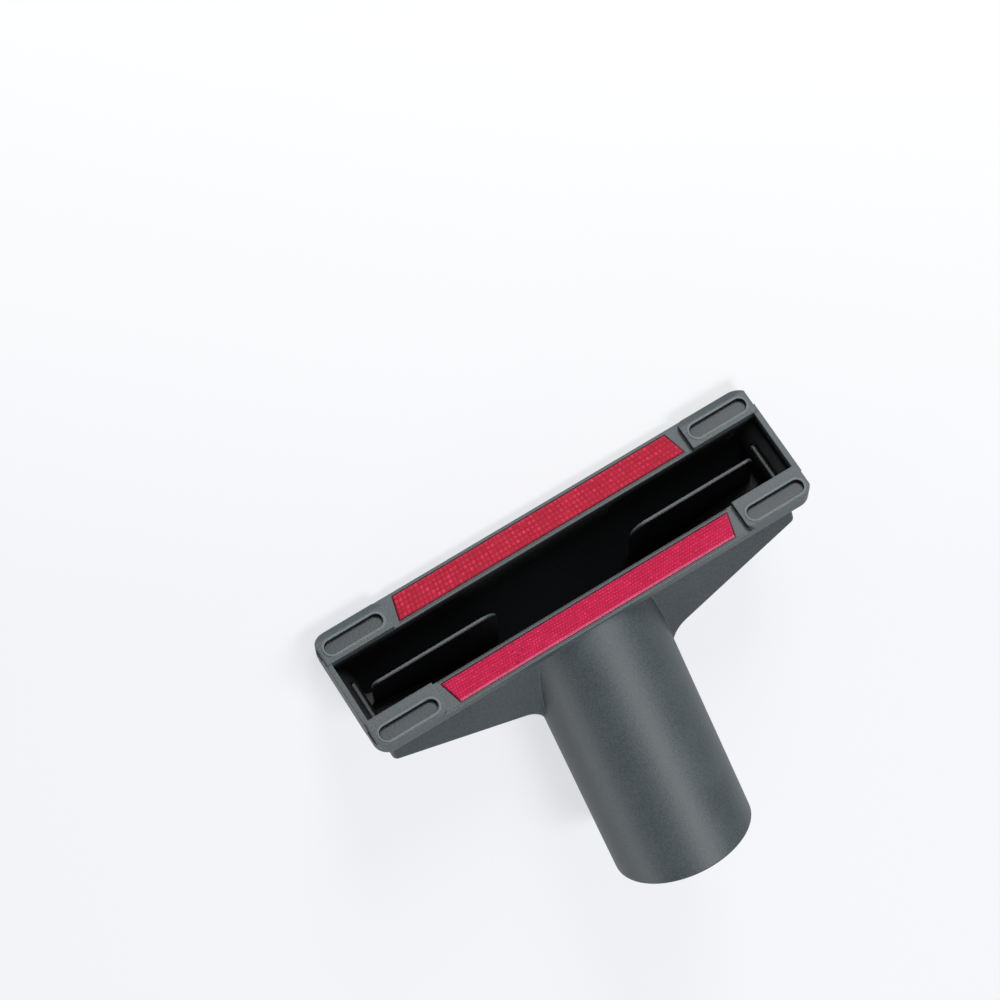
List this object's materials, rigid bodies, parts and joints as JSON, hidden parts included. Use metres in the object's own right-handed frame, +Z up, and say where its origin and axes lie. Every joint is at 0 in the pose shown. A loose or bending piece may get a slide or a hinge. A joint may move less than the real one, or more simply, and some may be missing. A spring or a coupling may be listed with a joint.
{
  "type": "vacuum upholstery nozzle",
  "caption": "Wide flat upholstery nozzle with a slanted round socket tube, a wedge-shaped head and red lint-picker strips beside its mouth.",
  "frame": {"origin": "under the middle of the part's box, on the surface that it lies on", "axes": "+X along the mouth, +Y the way the tube leaves, +Z up; the mouth faces -Y and upwards"},
  "size_m": [0.127, 0.1054, 0.0422],
  "materials": {
    "grey_plastic": "dark grey moulded plastic, fine matt grain, worn a little lighter on the edges",
    "red_pile": "short one-way red pile on a woven backing"
  },
  "bodies": {
    "root": {"nozzle_body": "grey_plastic", "front_lint_strip": "red_pile", "heel_lint_strip": "red_pile"}
  },
  "joints": []
}
